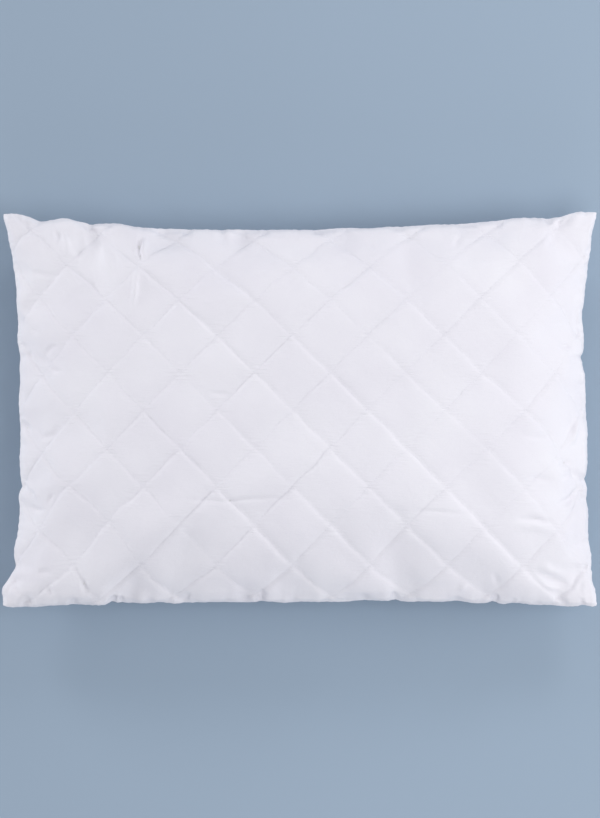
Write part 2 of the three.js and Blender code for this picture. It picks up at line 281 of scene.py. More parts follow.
def filled_panels():
    """Both panels, sewn together along their edges and blown up as one bag. Returns front and back."""
    grid = sim_grid()
    rows, columns = grid.u.shape
    lens = SIM_START_SWELL * np.sqrt(np.clip((1 - grid.s**4) * (1 - grid.t**4), 0, 1))
    edge = np.zeros((rows, columns), bool)
    edge[[0, -1]] = True
    edge[:, [0, -1]] = True
    front = np.arange(rows * columns).reshape(rows, columns)
    back = front.copy()
    back[~edge] = rows * columns + np.arange(np.count_nonzero(~edge))
    top = np.stack([grid.u, grid.v, lens], -1).reshape(-1, 3)
    under = np.stack([grid.u, grid.v, -lens], -1)[~edge]
    bag_mesh = bpy.data.meshes.new("bag")
    cells = np.concatenate([quads(front), quads(back)[:, ::-1]])
    bag_mesh.from_pydata(np.concatenate([top, under]).tolist(), [], cells.tolist())
    bag = new_object("bag", bag_mesh)

    seam = bag.vertex_groups.new(name="seam")
    seam.add(front[edge].tolist(), 1.0, "REPLACE")
    along, across = (
        np.round((place - shift) / (DIAMOND / 2 / SIM_STEPS)).astype(int)
        for place, shift in zip((grid.u, grid.v), PATTERN_SHIFT)
    )
    cycle = 2 * SIM_STEPS
    stitched = (((along + across) % cycle == 0) | ((along - across) % cycle == 0)) & ~edge
    for panel in (front, back):
        seam.add(panel[stitched].tolist(), LINE_SHRINK / SEAM_SHRINK, "REPLACE")
    fullness = bag.vertex_groups.new(name="fullness")
    for seed, panel in zip(STUFFING_SEEDS, (front, back)):
        share = np.clip(STUFFING + STUFFING_SPREAD * lumps(grid.u, grid.v, STUFFING_LENGTH, seed), 0, 1)
        for index, weight in zip(panel.ravel().tolist(), share.ravel().tolist()):
            fullness.add([index], weight, "REPLACE")

    cloth = bag.modifiers.new("filling", "CLOTH")
    for key, value in CLOTH_SETTINGS.items():
        setattr(cloth.settings, key, value)
    cloth.settings.effector_weights.gravity = 0
    cloth.collision_settings.use_collision = False
    cloth.collision_settings.use_self_collision = False
    cloth.point_cache.frame_start = 1
    cloth.point_cache.frame_end = SIM_FRAMES
    scene = bpy.context.scene
    for step in range(1, SIM_FRAMES + 1):
        scene.frame_set(step)
    filled = bag.evaluated_get(bpy.context.evaluated_depsgraph_get()).data
    points = np.empty(len(filled.vertices) * 3)
    filled.vertices.foreach_get("co", points)
    points = points.reshape(-1, 3)
    bpy.data.objects.remove(bag)
    bpy.data.meshes.remove(bag_mesh)
    scene.frame_set(1)
    return points[front], points[back]


SIDE_CURVE_DEGREE = 6


def smooth_side(values, place):
    """A side's long curve, without its ripples."""
    return np.polynomial.Polynomial.fit(place, values, SIDE_CURVE_DEGREE)(place)


def coons(low_u, high_u, low_v, high_v, grid):
    """Blends what is wanted along the four sides over a whole panel."""
    a = ((1 + grid.s) / 2)[..., None]
    b = ((1 + grid.t) / 2)[..., None]
    between = (1 - a) * low_u[:, None] + a * high_u[:, None] + (1 - b) * low_v[None] + b * high_v[None]
    corners = (1 - a) * ((1 - b) * low_u[0] + b * low_u[-1]) + a * ((1 - b) * high_u[0] + b * high_u[-1])
    return between - corners


SIM_SHARE_EDGE = 0.62  # how much of the simulation's own shape is kept at the seam
SIM_SHARE_MIDDLE = 0.40  # and in the middle of a face, which the quilting holds smooth
SIM_FADE = 0.12  # how far in from the seam the one turns into the other


def fitted(filled, guess, grid):
    """A simulated panel with its long curves brought to the outline, and its height to the crown."""
    wanted = guess - filled
    sides = []
    for row, place in (
        (wanted[:, 0], grid.t[:, 0]),
        (wanted[:, -1], grid.t[:, 0]),
        (wanted[0], grid.s[0]),
        (wanted[-1], grid.s[0]),
    ):
        sides.append(np.stack([smooth_side(row[:, axis], place) for axis in range(3)], -1))
    result = filled + coons(*sides, grid)
    height = np.abs(guess[..., 2]).max() / np.abs(result[..., 2]).max()
    lift = np.where(grid.from_seam > 0, height, 1)
    result[..., 2] *= lift
    fade = ease(grid.from_seam / SIM_FADE)
    share = SIM_SHARE_EDGE * (1 - fade)
    shares = np.stack([share, share, share + SIM_SHARE_MIDDLE * fade], -1)
    return guess + shares * (result - guess)


# ---- relief on the cloth

LINE_GAP = DIAMOND / math.sqrt(2)  # between neighbouring lines of stitching
HOLLOW_DEPTH = 0.0022  # the hollow that a line pulls into the panel
HOLLOW_ABOVE = 0.0125  # it is wide on the side where the wadding has sagged away
HOLLOW_BELOW = 0.0027  # and steep where the wadding hangs against the line
GROOVE_DEPTH = 0.0003  # the sharp groove of the thread itself
GROOVE_WIDTH = 0.0014
TIGHTNESS = 0.92  # share of these depths, and how it wanders over the face
TIGHTNESS_SPREAD = 0.28
TIGHTNESS_LENGTH = 0.15
TIGHTNESS_RANGE = (0.25, 1.3)

# Where the filling swells and the lines are slack: place on the cloth, reach, and the share of the
# depth that is lost by the lines that fall to the right and by those that rise, or won if below zero
SLACK_PLACES = (
    (230, 130, 150, 0.45, 0.45),
    (-190, 60, 70, 0.30, 0.30),
    (20, 190, 80, 0.25, 0.25),
    (200, -80, 180, 0.00, 0.45),
    (-200, -150, 60, 0.35, 0.00),
    (-150, 145, 80, -0.35, 0.20),
)
# Where the cloth has been pulled aside: place on it, reach, and how far to the right and to the far side
CLOTH_PULLS = (
    (290, -50, 90, 13, 1),
    (-285, -145, 65, 0, 11),
    (-265, -195, 50, 10, 0),
    (-316, -100, 50, -8, 0),
)
PULL_FADE = 0.080  # the pulls die away within this distance of the seam


def around(u, v, place, reach):
    """1 at a place on the cloth, given in millimetres, and dying away around it."""
    return np.exp(-((u - MM * place[0]) ** 2 + (v - MM * place[1]) ** 2) / (MM * reach) ** 2)


def from_line(run):
    """Distance to the nearest line of stitching, below zero on one side of it."""
    return run - LINE_GAP * np.round(run / LINE_GAP)


def line_distances(u, v):
    """Distances to both sets of lines, above zero towards the far side."""
    du = u - PATTERN_SHIFT[0]
    dv = v - PATTERN_SHIFT[1]
    return from_line((dv + du) / math.sqrt(2)), from_line((dv - du) / math.sqrt(2))


def quilting(u, v, seed):
    """The hollows along both sets of stitching lines, deeper here and slacker there."""
    total = GROOVE_DEPTH + HOLLOW_DEPTH
    hollows = []
    for number, away in enumerate(line_distances(u, v)):
        width = np.where(away > 0, HOLLOW_ABOVE, HOLLOW_BELOW)
        hollow = HOLLOW_DEPTH * np.exp(-np.abs(away) / width)
        hollow += GROOVE_DEPTH * np.exp(-np.abs(away) / GROOVE_WIDTH)
        wander = lumps(u, v, TIGHTNESS_LENGTH, seed + 9 + number)
        tightness = TIGHTNESS + TIGHTNESS_SPREAD * wander
        for *place, reach, falling, rising in SLACK_PLACES:
            tightness -= (falling, rising)[number] * around(u, v, place, reach)
        hollows.append(hollow * np.clip(tightness, *TIGHTNESS_RANGE))
    first, second = hollows
    return -(first + second - np.clip(first * second / total, 0, None))


CREASE_FADE = 2.2  # how steeply a crease fades at its ends


def crease(u, v, points, width, depth, open_start=False):
    """A soft groove along a line on the cloth, or a ridge if its depth is below zero. It fades out at
    its end, and at its start too unless that is open."""
    steps = np.diff(points, axis=0)
    lengths = np.hypot(*steps.T)
    runs = np.concatenate([[0], np.cumsum(lengths)])
    nearest = np.full(u.shape, np.inf)
    along = np.zeros(u.shape)
    for start, step, length, run in zip(points, steps, lengths, runs):
        share = ((u - start[0]) * step[0] + (v - start[1]) * step[1]) / length**2
        share = np.clip(share, 0, 1)
        away = np.hypot(u - start[0] - share * step[0], v - start[1] - share * step[1])
        along = np.where(away < nearest, run + share * length, along)
        nearest = np.minimum(nearest, away)
    place = along / runs[-1]
    fade = ease(CREASE_FADE * (1 - place))
    if not open_start:
        fade = fade * ease(CREASE_FADE * place)
    return -depth * fade * bell(nearest, width)


# Creases in the front face: points on the cloth, width, depth. A depth below zero is a ridge.
FRONT_CREASES = (
    # pressed in by folding
    (((-160, -113), (-100, -116), (-50, -114), (4, -112)), 2.2, 1.7),
    (((122, -130), (165, -127), (210, -131)), 2, 1.5),
    (((-120, 16), (-100, 14), (-82, 15)), 2, 1.5),
    # hanging from the far side, by the left ear
    (((-186, 234), (-195.5, 203), (-191, 182)), 2.4, 5),
    (((-181, 234), (-190, 203), (-186, 184)), 2.8, -3),
    (((-193, 188), (-201, 160), (-207, 130), (-209, 110)), 2.8, -2.8),
    (((-298, 234), (-298, 206)), 3.5, 2.8),
    (((-288, 226), (-286, 190)), 4.2, -2.6),
    (((-330, 222), (-322, 206)), 4.5, -1.6),
    (((-312, 204), (-298, 192), (-288, 182)), 3, -1.6),
    (((-262, 234), (-262, 182)), 5, -1.8),
    (((-274, 212), (-274, 172)), 5, 1.6),
    (((-240, 228), (-236, 150)), 6, -2),
    (((-226, 214), (-222, 160)), 6, 1.4),
    # at the left end
    (((-356, 166), (-330, 164), (-300, 160)), 3.4, 1.4),
    (((-345, 66), (-333, 59), (-318, 52)), 2.8, 2.6),
    (((-334, 60), (-318, 73), (-306, 74)), 2.6, 2),
    (((-325, 50), (-312, 45), (-300, 46)), 2.6, 1.8),
    (((-346, -20), (-331, -32), (-316, -31), (-304, -12)), 3, 2.2),
    (((-350, 96), (-330, 92)), 4, 1.6),
    (((-364, -112), (-337, -121), (-316, -125)), 3.2, 3),
    (((-317, -121), (-313, -112), (-306, -104)), 2.8, 2),
    (((-350, -98), (-326, -104)), 4, -1.6),
    (((-273, -203), (-258, -230)), 3.4, 2.4),
    (((-314, -214), (-299, -232)), 3.4, 2.4),
    (((-334, -196), (-310, -201)), 3.4, 2),
    (((-364, -200), (-363, -234)), 2.6, 1.8),
    # at the right end
    (((326, 73), (350, 73.5)), 2.6, 3.4),
    (((360, -4), (354, -20), (346, -34), (324, -48)), 4, -3.1),
    (((347, -6), (341, -22), (326, -36)), 4, 1.8),
    (((258, -36), (284, -36), (310, -34)), 3.4, 2.1),
    (((304, -68.5), (324, -65), (345, -62.5)), 3, 3.1),
    (((312, -82), (340, -78)), 3, 2.3),
    (((367, -84), (355, -95), (343, -104), (325, -110.5), (307, -113.5)), 3.4, 4),
    (((366, -94), (352, -108), (331, -119), (308, -124)), 5, -2.6),
    (((262, -92), (284, -86), (306, -88)), 3.4, 2.1),
    (((253, -135.5), (283, -133.5), (317, -137)), 3, 3.1),
    (((252, -143.5), (285, -142), (322, -148)), 5, -1.8),
    (((277, -192.5), (298, -202.5), (320, -210), (336.5, -215)), 3.6, 3.1),
    (((288, -186), (308, -196), (332, -204)), 4.6, -2.3),
    (((290, -212), (308, -220), (330, -225)), 3.6, -2.3),
    (((232, -196), (238, -224)), 4, 1.6),
    (((198, -214), (190, -230)), 3.4, -1.8),
    (((345, -225), (361, -208)), 3.4, 1.8),
    # along the far side
    (((80, 232), (94, 196)), 5, 1.4),
    (((-40, 232), (-52, 190)), 6, 1.3),
    (((190, 232), (186, 196)), 5, 1.3),
    (((318, 220), (306, 196)), 4.4, 1.6),
    (((346, 150), (318, 136)), 5, 1.2),
)
BACK_CREASES = (
    (((-210, 60), (-120, 66), (-40, 58)), 2.4, 1),
    (((90, -90), (160, -84), (220, -92)), 2.4, 0.9),
    (((-190, -226), (-182, -180)), 5, 1.2),
    (((236, 222), (226, 176)), 5, 1.2),
    (((345, 20), (300, 34)), 5, 1.3),
    (((-348, -50), (-306, -40)), 5, 1.3),
)

# Gathers at the seam of each side: place along it, lean, reach inwards, width, depth, notch in the outline
GATHERS = {
    "left": (
        (60, 6, 30, 5, 2.6, 1.4), (-20, -4, 26, 5, 2.2, 0.8), (-91.5, -12, 40, 4.4, 3.4, 3),
        (160, 2, 18, 4, 1.6, 1.2),
    ),
    "right": (
        (61.4, -6, 34, 4.2, 4, 4.2), (-83.4, 10, 46, 5, 3, 3.4), (-160, 4, 40, 5, 1.6, 0.6),
        (150, 10, 30, 6, 1.2, 0.4),
    ),
    "near": (
        (-224, 4, 16, 3.4, 5.6, 5.6), (-213, -2, 14, 3, 4, 2), (-137, 6, 20, 3.4, 3.6, 1),
        (-48, 6, 26, 4, 3.8, 1), (113.6, -4, 18, 3.4, 4.4, 2.6), (232, 4, 18, 3.4, 4.8, 3.4),
        (254, 6, 16, 3.4, 3, 1), (352, -2, 16, 3.6, 2, 1.6),
    ),
    "far": (
        (-251.5, -6, 26, 4, 2.8, 2.8), (321, -4, 22, 4, 2, 1.6), (120, 10, 34, 6, 1.4, 0.6),
        (-90, -6, 34, 7, 1.4, 0.6),
    ),
}
# Longer dents and swellings of the outline, by side: place along it, width, how far in
DENTS = {
    "left": (
        (79, 14, -3), (9, 20, -2.4), (-55, 20, -1), (-104, 10, -2.2), (-168, 14, -2.2),
        (-190, 7, 2.6), (-222, 15, -7.2),
    ),
    "right": (
        (113, 14, 4.4), (79, 12, 1.2), (51, 8, 2.2), (-28, 20, -1.4), (-106, 11, 3.6),
        (-150, 22, 2.2), (-192, 8, 2), (-209, 10, 3),
    ),
    "near": (
        (-330, 30, -1), (-238, 16, -1.4), (100, 45, 2.6), (175, 20, 1.4),
    ),
    "far": (
        (-372, 10, 2), (-318, 11, 3.6), (-285, 14, -4), (-222, 18, -3.6), (-10, 70, 0.6),
        (262, 14, -1.8), (303, 14, 3.4), (345, 9, -1.2),
    ),
}
GATHER_RIDGE = 0.35  # the ridge beside a gather, in shares of its depth
GATHER_RIDGE_SHIFT = 0.9  # and how far away it is, in widths of the gather
NOTCH_SPREAD = 1.5  # how wide a gather's notch is, in widths of the gather
NOTCH_REACH = 0.014  # how far in from the seam a notch moves the cloth
DENT_REACH = 0.030  # and a dent

# Small ripples that run in from the seam: depth, wavelength along the seam, reach, seed
RIPPLES = ((0.0009, 0.030, 0.020, 2), (0.000315, 0.011, 0.009, 7))
LUMP_DEPTH = 0.0010
LUMP_LENGTH = 0.075
FACE_SEEDS = {1: 20, -1: 50}
RELIEF_START = 0.005  # the relief rises to its full height within this distance of the seam

# Small waves of the outline: how far in, wavelength, seed
OUTLINE_WAVES = ((0.0005, 0.05, 70), (0.0002, 0.012, 80))
OUTLINE_WAVE_REACH = 0.016
SEAM_RISE = 0.0016  # how far the seam wanders up and down
SEAM_RISE_LENGTH = 0.16
SEAM_RISE_REACH = 0.03
SEAM_RISE_SEED = 91
LINE_WANDER = 0.0008  # how far the cloth, and the stitching on it, wanders from straight
LINE_WANDER_LENGTH = 0.055
LINE_WANDER_START = 0.03
LINE_WANDER_SEED = 95

# The turned edge
LIP_HEIGHT = 0.0014
LIP_WIDTH = 0.0022
LIP_INSET = 0.0007
LIP_INSET_REACH = 0.0006
LIP_END = 0.012  # where the lip starts to run out, and how gradually
LIP_RUNOUT = 0.02
SEAM_CLEARANCE = 0.0002
ALLOWANCE_STEP = 0.0007  # how far the turned-in allowance holds the cloth up
ALLOWANCE_START = 0.004
ALLOWANCE_LEAD = 0.001  # the step down at its raw edge starts this far before it
ALLOWANCE_SLOPE = 0.0022  # and is this wide


def gather_line(name, place, lean, reach):
    """Where a gather starts on the seam and ends on the face."""
    outward = 1 if name in ("right", "far") else -1
    if name in ("left", "right"):
        half = outward * CUT_LENGTH / 2
        return np.array([(half, place), (half - outward * reach, place + lean)])
    half = outward * CUT_WIDTH / 2
    return np.array([(place, half), (place + lean, half - outward * reach)])


def relief(grid, side):
    """How far a face's cloth stands out from its smooth shape, along its normal."""
    u, v = grid.u, grid.v
    seed = FACE_SEEDS[side]
    total = quilting(u, v, seed)
    total += LUMP_DEPTH * lumps(u, v, LUMP_LENGTH, seed + 1)
    for points, width, depth in FRONT_CREASES if side > 0 else BACK_CREASES:
        total += crease(u, v, MM * np.array(points), MM * width, MM * depth)
    for number, name in enumerate(SIDES):
        for place, lean, reach, width, depth, _ in MM * np.array(GATHERS[name]):
            line = gather_line(name, place, lean, reach)
            total += crease(u, v, line, width, depth, open_start=True)
            ridge = line + GATHER_RIDGE_SHIFT * width
            total += crease(u, v, ridge, width, -GATHER_RIDGE * depth, open_start=True)
        _, _, along, away = side_frame(name, grid)
        for depth, wavelength, reach, ripple_seed in RIPPLES:
            ripple = waves(along, wavelength, seed + ripple_seed + number)
            total += depth * ripple * np.exp(-away / reach)
    return total * ease(grid.from_seam / RELIEF_START)


def edge_shape(grid, side):
    """The turned edge: how far its roll stands up, and how far the seam lies inside it."""
    roll = np.clip(grid.from_seam / LIP_WIDTH, 0, 1)
    lip = SEAM_CLEARANCE + LIP_HEIGHT * np.sqrt(roll * (2 - roll))
    past_edge = grid.from_seam - SEAM_ALLOWANCE + ALLOWANCE_LEAD
    allowance = ALLOWANCE_STEP * (1 - ease(past_edge / ALLOWANCE_SLOPE))
    fade = 1 - ease((grid.from_seam - LIP_END) / LIP_RUNOUT)
    return side * (lip * fade + allowance * ease(grid.from_seam / ALLOWANCE_START))


def side_frame(name, grid):
    """For one side: the axis across it, the way in, and each point's place along and distance from it."""
    ends = name in ("left", "right")
    axis = 0 if ends else 1
    inward = 1 if name in ("left", "near") else -1
    along = grid.v if ends else grid.u
    half = (CUT_LENGTH if ends else CUT_WIDTH) / 2
    away = half + inward * (grid.u if ends else grid.v)
    return axis, inward, along, away


def shifted_seam(points, grid):
    """Moves the cloth by the seam: notches, dents, small waves, and the inset of the seam line."""
    moved = points.copy()
    for number, name in enumerate(SIDES):
        axis, inward, along, away = side_frame(name, grid)
        for place, _, _, width, _, notch in MM * np.array(GATHERS[name]):
            pull = notch * np.exp(-(np.abs((along - place) / (NOTCH_SPREAD * width)) ** 1.5))
            moved[..., axis] += inward * pull * bell(away, NOTCH_REACH)
        for place, width, dent in MM * np.array(DENTS[name]):
            pull = dent * bell(along - place, width)
            moved[..., axis] += inward * pull * bell(away, DENT_REACH)
        wander = LIP_INSET * bell(away, LIP_INSET_REACH)
        for size, wavelength, seed in OUTLINE_WAVES:
            wander = wander + size * waves(along, wavelength, seed + number)
        moved[..., axis] += inward * wander * bell(away, OUTLINE_WAVE_REACH)
    fade = ease(grid.from_seam / LINE_WANDER_START)
    for axis in (0, 1):
        wander = lumps(grid.u, grid.v, LINE_WANDER_LENGTH, LINE_WANDER_SEED + axis)
        moved[..., axis] += LINE_WANDER * fade * wander
    for *place, reach, right, far in CLOTH_PULLS:
        share = around(grid.u, grid.v, place, reach) * ease(grid.from_seam / PULL_FADE)
        moved[..., 0] += MM * right * share
        moved[..., 1] += MM * far * share
    rise = SEAM_RISE * waves(grid.u + 2 * grid.v, SEAM_RISE_LENGTH, SEAM_RISE_SEED)
    moved[..., 2] += rise * bell(grid.from_seam, SEAM_RISE_REACH)
    return moved


def normals(points):
    """The upward direction at each point of a face: outward on the front, inward on the back."""
    across = np.gradient(points, axis=1)
    along = np.gradient(points, axis=0)
    out = np.cross(across, along)
    return out / np.maximum(np.linalg.norm(out, axis=-1, keepdims=True), 1e-12)


def pressed(depth, limit):
    """A depth that runs up softly to the floor's limit."""
    mix = np.clip(0.5 + 0.5 * (limit - depth) / PRESS_SOFTNESS, 0, 1)
    return limit * (1 - mix) + depth * mix - PRESS_SOFTNESS * mix * (1 - mix)


# ---- meshes


def new_object(name, data):
    """Puts an object into the scene."""
    thing = bpy.data.objects.new(name, data)
    bpy.context.collection.objects.link(thing)
    return thing


def quads(numbers):
    """The four corners of each cell of a grid of vertex numbers."""
    cells = [numbers[:-1, :-1], numbers[:-1, 1:], numbers[1:, 1:], numbers[1:, :-1]]
    return np.stack(cells, -1).reshape(-1, 4)


def border(rows, columns, step=1):
    """A grid's outermost points in order, counterclockwise, as (row, column) places."""
    near = [(0, c) for c in range(0, columns - 1, step)]
    right = [(r, columns - 1) for r in range(0, rows - 1, step)]
    far = [(rows - 1, c) for c in range(columns - 1, 0, -step)]
    left = [(r, 0) for r in range(rows - 1, 0, -step)]
    return near + right + far + left


def new_piece(name, vertices, faces, material, cloth=None, pinch=None):
    """A mesh object, shaded smooth, that rides on the pillow. cloth gives its points' cloth coordinates
    to its material, and pinch how finely wrinkled it is there."""
    mesh = bpy.data.meshes.new(name)
    mesh.from_pydata(vertices.tolist(), [], faces)
    mesh.polygons.foreach_set("use_smooth", np.ones(len(faces), bool))
    if cloth is not None:
        layer = mesh.attributes.new("cloth", "FLOAT_VECTOR", "POINT")
        layer.data.foreach_set("vector", cloth.astype(np.float32).ravel())
        layer = mesh.attributes.new("pinch", "FLOAT", "POINT")
        layer.data.foreach_set("value", pinch.astype(np.float32).ravel())
    mesh.materials.append(material)
    piece = new_object(name, mesh)
    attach(piece, "root")
    return piece


def kept_lines(count, step):
    """Every so many of a grid's lines, and always the last."""
    return np.unique(np.append(np.arange(0, count, step), count - 1))


def shell(name, outer, inner, grid, side, material, inner_step=1):
    """A closed sheet: its outer face, an inner face on every so many lines of the grid, and the turned
    edge that joins them."""
    rows, columns = outer.shape[:2]
    top = np.arange(rows * columns).reshape(rows, columns)
    kept = np.ix_(kept_lines(rows, inner_step), kept_lines(columns, inner_step))
    under = np.full((rows, columns), -1)
    under[kept] = top.size + np.arange(top[kept].size).reshape(top[kept].shape)
    ring = border(rows, columns)
    posts = [number for number, place in enumerate(ring) if under[place] >= 0]
    rim = []
    for first, last in zip(posts, posts[1:] + [len(ring)]):
        chain = [ring[number % len(ring)] for number in range(first, last + 1)]
        outside = [int(top[place]) for place in chain[::-1]]
        rim.append(outside + [int(under[chain[0]]), int(under[chain[-1]])])
    faces = quads(top).tolist() + quads(under[kept])[:, ::-1].tolist() + rim
    if side < 0:
        faces = [face[::-1] for face in faces]
    flat = np.stack([grid.u, grid.v, np.zeros_like(grid.u)], -1)
    nearest, other = np.sort(np.abs(line_distances(grid.u, grid.v)), axis=0)
    pinch = LINE_PINCH * bell(nearest, PINCH_REACH)
    pinch += (1 - LINE_PINCH) * bell(other, PINCH_REACH)
    vertices = np.concatenate([outer.reshape(-1, 3), inner[kept].reshape(-1, 3)])
    cloth = np.concatenate([flat.reshape(-1, 3), flat[kept].reshape(-1, 3)])
    pinches = np.append(pinch.ravel(), pinch[kept].ravel())
    return new_piece(name, vertices, faces, material, cloth, pinches)


# ---- materials


def srgb(red, green, blue):
    """A colour as it looks, 0 to 1, to the linear colour that a shader takes."""
    line = [c / 12.92 if c <= 0.04045 else ((c + 0.055) / 1.055) ** 2.4 for c in (red, green, blue)]
    return (*line, 1)


COTTON_LIGHT = srgb(0.945, 0.938, 0.957)
COTTON_DEEP = srgb(0.925, 0.915, 0.939)
THREAD_WHITE = srgb(0.95, 0.945, 0.97)
WADDING_WHITE = srgb(0.93, 0.93, 0.92)
WADDING_DEEP = srgb(0.84, 0.84, 0.84)
FIBRE_DEEP = srgb(0.80, 0.80, 0.81)
LINING_WHITE = srgb(0.90, 0.90, 0.91)
WEAVE_GAP = 0.00045  # between neighbouring yarns
PINCH_REACH = 0.011  # how far from a stitched crossing the cloth is finely wrinkled
LINE_PINCH = 0.3  # how much of that there is along a line, away from its crossings
YARN_STRETCH = (0.12, 1, 0)  # thick places and fine wrinkles are long across the cloth
WEAVE_HEIGHT = 0.25  # heights in the cotton's bump, in shares of its thick places
CRUMPLE_HEIGHT = 1.8
PINCH_HEIGHT = 7


def shaded(colour, share):
    """A linear colour made darker."""
    return tuple(share * c for c in colour[:3]) + (1,)


def set_inputs(node, values):
    """Sets a node's sockets, by name, to values that are the same everywhere."""
    for key, value in values.items():
        node.inputs[key].default_value = value


class Shader:
    """A new material's node tree, with short ways to add to it."""

    def __init__(self, name):
        self.material = bpy.data.materials.new(name)
        self.material.use_nodes = True
        self.nodes = self.material.node_tree.nodes
        self.surface = self.nodes["Principled BSDF"]

    def add(self, kind, **settings):
        node = self.nodes.new(kind)
        for key, value in settings.items():
            setattr(node, key, value)
        return node

    def join(self, output, target):
        self.material.node_tree.links.new(output, target)

    def maths(self, operation, first, second):
        node = self.add("ShaderNodeMath", operation=operation)
        for socket, value in zip(node.inputs, (first, second)):
            if isinstance(value, (int, float)):
                socket.default_value = value
            else:
                self.join(value, socket)
        return node.outputs[0]

    def noise(self, vector, scale, detail, roughness=0.5):
        node = self.add("ShaderNodeTexNoise")
        set_inputs(node, {"Scale": scale, "Detail": detail, "Roughness": roughness})
        self.join(vector, node.inputs["Vector"])
        return node.outputs["Fac"]

    def ramp(self, factor, low, high, start=0.3, end=0.7):
        node = self.add("ShaderNodeValToRGB")
        for element, place, colour in zip(node.color_ramp.elements, (start, end), (low, high)):
            element.position = place
            element.color = colour
        self.join(factor, node.inputs["Fac"])
        return node.outputs["Color"]

    def spread(self, factor, low, high):
        node = self.add("ShaderNodeMapRange")
        set_inputs(node, {"To Min": low, "To Max": high})
        self.join(factor, node.inputs["Value"])
        return node.outputs["Result"]

    def bump(self, height, distance, strength):
        node = self.add("ShaderNodeBump")
        set_inputs(node, {"Distance": distance, "Strength": strength})
        self.join(height, node.inputs["Height"])
        self.join(node.outputs["Normal"], self.surface.inputs["Normal"])


def cotton(name, light, deep, sheen):
    """Plain-woven cotton: crossing yarns, thicker places along them, and a faint unevenness of tone."""
    shader = Shader(name)
    cloth = shader.add("ShaderNodeAttribute", attribute_name="cloth").outputs["Vector"]
    split = shader.add("ShaderNodeSeparateXYZ")
    shader.join(cloth, split.inputs["Vector"])
    turn = math.pi / WEAVE_GAP
    warp, weft = (
        shader.maths("SINE", shader.maths("MULTIPLY", split.outputs[axis], turn), 0) for axis in "XY"
    )
    weave = shader.maths("MULTIPLY", warp, weft)
    stretch = shader.add("ShaderNodeMapping")
    set_inputs(stretch, {"Scale": YARN_STRETCH})
    shader.join(cloth, stretch.inputs["Vector"])
    slub = shader.noise(stretch.outputs["Vector"], scale=900, detail=2)
    crumple = shader.noise(cloth, scale=130, detail=4, roughness=0.6)
    wrinkle = shader.noise(stretch.outputs["Vector"], scale=380, detail=1)
    pinch = shader.add("ShaderNodeAttribute", attribute_name="pinch").outputs["Fac"]
    pinched = shader.maths("MULTIPLY", wrinkle, shader.maths("MULTIPLY", pinch, PINCH_HEIGHT))
    height = shader.maths("MULTIPLY", weave, WEAVE_HEIGHT)
    height = shader.maths("ADD", height, slub)
    height = shader.maths("ADD", height, shader.maths("MULTIPLY", crumple, CRUMPLE_HEIGHT))
    height = shader.maths("ADD", height, pinched)
    shader.bump(height, distance=0.00022, strength=0.75)
    tone = shader.noise(cloth, scale=9, detail=3)
    shader.join(shader.ramp(tone, deep, light), shader.surface.inputs["Base Color"])
    shader.join(shader.spread(slub, low=0.80, high=0.95), shader.surface.inputs["Roughness"])
    set_inputs(shader.surface, {"Sheen Weight": sheen, "Sheen Roughness": 0.4,
                                "Specular IOR Level": 0.25})
    return shader.material


def fluffy(name, light, deep, scale):
    """Loose white fibres."""
    shader = Shader(name)
    place = shader.add("ShaderNodeTexCoord").outputs["Object"]
    strands = shader.noise(place, scale, detail=8, roughness=0.7)
    shader.join(shader.ramp(strands, deep, light), shader.surface.inputs["Base Color"])
    shader.bump(strands, distance=0.002, strength=0.8)
    set_inputs(shader.surface, {"Roughness": 0.95, "Sheen Weight": 0.3})
    return shader.material


def twisted_thread(name, colour):
    """Sewing thread: fine twist, and a little more gloss than the cloth."""
    shader = Shader(name)
    place = shader.add("ShaderNodeTexCoord").outputs["Object"]
    twist = shader.noise(place, scale=4000, detail=2)
    tone = shader.noise(place, scale=60, detail=1)
    shader.join(shader.ramp(tone, shaded(colour, 0.93), colour), shader.surface.inputs["Base Color"])
    shader.bump(twist, distance=0.0001, strength=0.6)
    shader.join(shader.spread(twist, low=0.4, high=0.6), shader.surface.inputs["Roughness"])
    return shader.material


cover_cotton = cotton("cover_cotton", COTTON_LIGHT, COTTON_DEEP, sheen=0.15)
lining_web = cotton("lining_web", LINING_WHITE, shaded(LINING_WHITE, 0.95), sheen=0.1)
wadding_fluff = fluffy("wadding_fluff", WADDING_WHITE, WADDING_DEEP, scale=400)
fibre_fluff = fluffy("fibre_fluff", WADDING_WHITE, FIBRE_DEEP, scale=180)
quilting_thread = twisted_thread("quilting_thread", THREAD_WHITE)
seam_thread = twisted_thread("seam_thread", THREAD_WHITE)

# ---- the shape of both faces

fine = Grid(FINE_STEPS)
sim = sim_grid()

panels = {side: resting_guess(sim, side) for side in (1, -1)}
for side, filled in zip((1, -1), filled_panels()):
    panels[side] = fitted(filled, panels[side], sim)


def face_shape(grid, side):
    """A face's finished points on a grid, in the frame's own coordinates."""
    points = shifted_seam(carried(panels[side], sim, grid), grid)
    if side < 0:
        points[..., 2] = -pressed(-points[..., 2], SEAM_HEIGHT)
    points = points + side * normals(points) * relief(grid, side)[..., None]
    points[..., 2] += edge_shape(grid, side) + SEAM_HEIGHT
    points[..., 2] = np.maximum(points[..., 2], 0)
    return points


faces = {side: face_shape(fine, side) for side in (1, -1)}

# ---- the layers

# How deep under a cover's outside each surface lies, where the panel is at its full thickness
COVER_INSIDE = 0.0011
WADDING_TOP = 0.0015
WADDING_BOTTOM = 0.0046
LINING_TOP = 0.0048
LINING_BOTTOM = 0.0052
FIBRE_TOP = 0.0056
LAYER_SHARE = 0.8  # how much of the room over the seam plane the layers may take by the edge
WADDING_EDGE = 0.004  # how far short of the seam each layer stops
LINING_EDGE = 0.005
FIBRE_EDGE = 0.012
EDGE_CELL = 0.003  # the width of a layer's outermost row of cells


